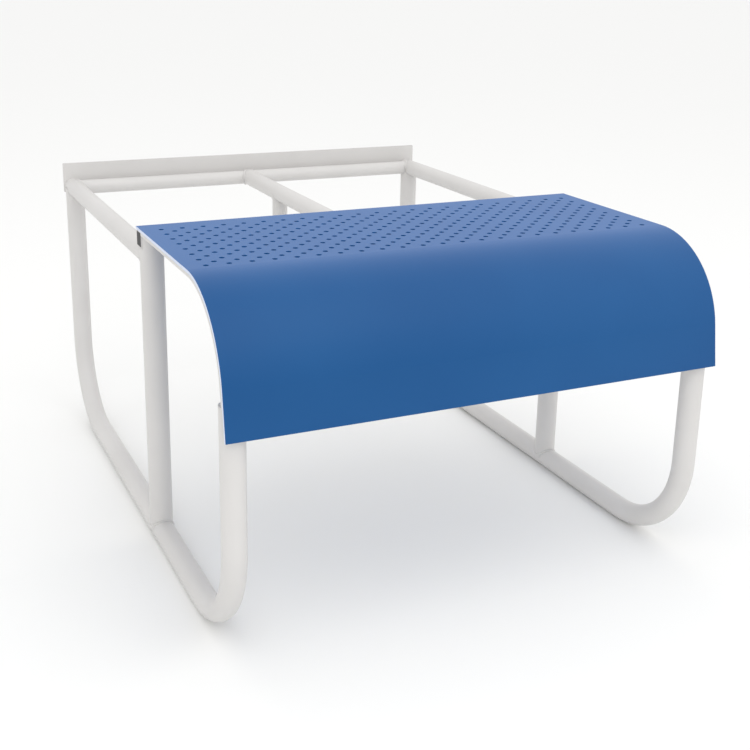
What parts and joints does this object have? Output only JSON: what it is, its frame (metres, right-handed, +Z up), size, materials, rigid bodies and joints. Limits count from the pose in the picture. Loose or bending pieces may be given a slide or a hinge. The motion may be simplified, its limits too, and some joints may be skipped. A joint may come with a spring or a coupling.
{
  "type": "diving board",
  "caption": "Free-standing pool diving and entry platform: perforated deck with a bent-down apron on a bent tube frame, with rails running back to a flat wall plate.",
  "frame": {"origin": "on the floor, at the centre of the bounding box's bottom face", "axes": "+Z up, +Y towards the wall plate and the pool's edge (the apron faces -Y, the water side), +X to the right when looking along +Y"},
  "size_m": [0.956, 1.2708, 0.635],
  "materials": {
    "frame_paint": "satin off-white powder coat on welded round steel tube",
    "deck_grp": "satin blue gel-coated glass-reinforced plastic, drilled and bent",
    "cap_white": "off-white moulded polyethylene plugs, matte",
    "cap_plastic": "black moulded polyethylene plugs and foot, matte",
    "stainless": "plain stainless steel studs, nuts, washers and spacers"
  },
  "bodies": {
    "root": {"loop_left": "frame_paint", "loop_right": "frame_paint", "post_left": "frame_paint", "post_right": "frame_paint", "rail_left": "frame_paint", "rail_right": "frame_paint", "rail_middle": "frame_paint", "post_middle": "frame_paint", "cross_tube_rear": "frame_paint", "cross_tube_front": "frame_paint", "wall_plate": "frame_paint", "deck_bar": "frame_paint", "welds_left": "frame_paint", "welds_right": "frame_paint", "welds_middle": "frame_paint", "deck_skin": "deck_grp", "edge_batten_left": "frame_paint", "edge_batten_right": "frame_paint", "bar_cap_left": "cap_plastic", "bar_cap_right": "cap_plastic", "leg_cap_left": "cap_white", "leg_cap_right": "cap_white", "rail_cap_middle": "cap_plastic", "post_foot_middle": "cap_plastic", "deck_studs": "stainless", "deck_nuts": "stainless", "deck_washers": "stainless", "apron_spacers": "stainless"}
  },
  "joints": []
}
